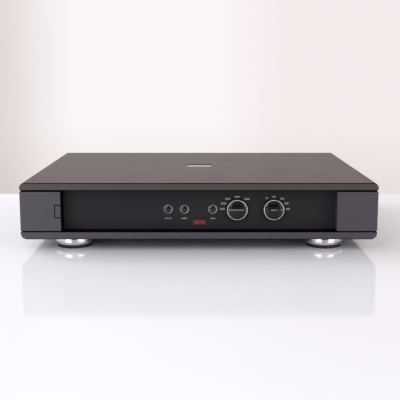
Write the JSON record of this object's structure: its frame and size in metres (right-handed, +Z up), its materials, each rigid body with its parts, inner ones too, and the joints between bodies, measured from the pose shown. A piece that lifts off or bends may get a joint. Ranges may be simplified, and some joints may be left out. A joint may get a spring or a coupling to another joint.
{
  "type": "phono preamp",
  "caption": "Full-width phono preamp with a recessed control panel, push buttons, two selector knobs and polished round feet.",
  "frame": {"origin": "centre of the footprint, at the underside of the rubber pads", "axes": "+X to the right seen from the front, +Z up, and the front faces -Y"},
  "size_m": [0.433, 0.34, 0.0833],
  "materials": {
    "cover_aluminium": "satin anodised, near black",
    "case_aluminium": "satin anodised, near black",
    "badge_aluminium": "fine brushed, clear anodised",
    "panel_acrylic": "gloss black",
    "steel_plate": "zinc plated",
    "back_paint": "fine texture, near black",
    "black_screw": "black oxide",
    "foot_aluminium": "turned and polished",
    "pad_rubber": "matt",
    "plated_screw": "zinc plated",
    "button_satin": "satin, near black",
    "cap_gloss": "gloss black",
    "bezel_chrome": "bright plated",
    "knob_black": "black anodised with a bright cut edge",
    "lens_red": "smoked red, lit from behind",
    "light_module": "diffusing",
    "switch_plastic": "moulded",
    "rod_nylon": "moulded",
    "selector_metal": "nickel plated",
    "brass_plain": "nickel-free, turned",
    "board_green": "solder mask",
    "ribbon_grey": "flat cable",
    "film_red": "moulded box",
    "can_blue": "printed sleeve",
    "relay_cream": "moulded box",
    "chip_black": "moulded",
    "heatsink_black": "black anodised",
    "winding_tape": "taped winding",
    "wire_red": "insulation",
    "gold_plate": "gold plated",
    "socket_shell": "dark nickel",
    "inlet_plastic": "moulded",
    "fuse_glass": "clear"
  },
  "bodies": {
    "case": {"lid": "cover_aluminium", "lid_badge": "badge_aluminium", "base": "case_aluminium", "left_side_casting": "case_aluminium", "right_side_casting": "case_aluminium", "front_panel": "panel_acrylic", "front_subpanel": "steel_plate", "rear_panel": "back_paint", "case_bolts": "black_screw", "panel_screws": "black_screw", "foot_front_left": "foot_aluminium", "foot_front_right": "foot_aluminium", "foot_rear_left": "foot_aluminium", "foot_rear_right": "foot_aluminium", "foot_pads": "pad_rubber", "foot_screws": "plated_screw", "power_switch": "switch_plastic", "power_switch_bracket": "steel_plate", "button_bezels": "bezel_chrome", "tact_switches": "switch_plastic", "rotary_switches": "selector_metal", "switch_nuts": "brass_plain", "indicator_lens": "lens_red", "indicator_leds": "light_module", "control_board": "board_green", "control_board_spacers": "brass_plain", "ribbon_cable": "ribbon_grey", "main_board": "board_green", "board_standoffs": "brass_plain", "board_screws": "plated_screw", "film_capacitors": "film_red", "supply_capacitors": "can_blue", "relays": "relay_cream", "amplifier_chips": "chip_black", "heatsink": "heatsink_black", "regulators": "chip_black", "transformer": "winding_tape", "transformer_pads": "pad_rubber", "transformer_washer": "steel_plate", "transformer_bolt": "plated_screw", "power_wires": "wire_red", "input_jacks": "gold_plate", "output_jacks": "gold_plate", "balanced_inputs": "socket_shell", "balanced_outputs": "socket_shell", "ground_post": "gold_plate", "mains_inlet": "inlet_plastic"},
    "power_key": {"power_button": "button_satin", "power_rod": "rod_nylon"},
    "mono_key": {"mono_button": "cap_gloss"},
    "mute_key": {"mute_button": "cap_gloss"},
    "input_key": {"input_button": "cap_gloss"},
    "capacitance_dial": {"capacitance_knob": "knob_black", "capacitance_shaft": "selector_metal"},
    "load_dial": {"load_knob": "knob_black", "load_shaft": "selector_metal"},
    "fuse_carrier": {"fuse_drawer": "inlet_plastic", "fuse": "fuse_glass"},
    "earth_washer": {"ground_washer": "plated_screw"},
    "earth_nut": {"ground_nut": "gold_plate"}
  },
  "joints": [
    {"name": "power_push", "type": "slide", "parent": "case", "child": "power_key", "axis": [0, 1, 0], "range_m": [0, 0.0035], "stiffness_N_per_m": 300, "springref_m": -0.003},
    {"name": "mono_push", "type": "slide", "parent": "case", "child": "mono_key", "axis": [0, 1, 0], "range_m": [0, 0.001], "stiffness_N_per_m": 800, "springref_m": -0.001},
    {"name": "mute_push", "type": "slide", "parent": "case", "child": "mute_key", "axis": [0, 1, 0], "range_m": [0, 0.001], "stiffness_N_per_m": 800, "springref_m": -0.001},
    {"name": "input_push", "type": "slide", "parent": "case", "child": "input_key", "axis": [0, 1, 0], "range_m": [0, 0.001], "stiffness_N_per_m": 800, "springref_m": -0.001},
    {"name": "capacitance_turn", "type": "hinge", "parent": "case", "child": "capacitance_dial", "pos_m": [0.047, -0.154, 0.048], "axis": [0, 1, 0], "range_deg": [0, 120]},
    {"name": "load_turn", "type": "hinge", "parent": "case", "child": "load_dial", "pos_m": [0.092, -0.154, 0.048], "axis": [0, 1, 0], "range_deg": [-120, 0]},
    {"name": "fuse_pull", "type": "slide", "parent": "case", "child": "fuse_carrier", "axis": [0, 1, 0], "range_m": [0, 0.02]},
    {"name": "ground_washer_slide", "type": "slide", "parent": "case", "child": "earth_washer", "axis": [0, 1, 0], "range_m": [0, 0.0021]},
    {"name": "ground_nut_turn", "type": "hinge", "parent": "earth_washer", "child": "earth_nut", "pos_m": [0.178, 0.1625, 0.048], "axis": [0, 1, 0], "range_deg": [0, 1081]}
  ],
  "couplings": [
    {"joint": "ground_nut_turn", "follows": "ground_washer_slide", "rad_per_m": 8976}
  ]
}
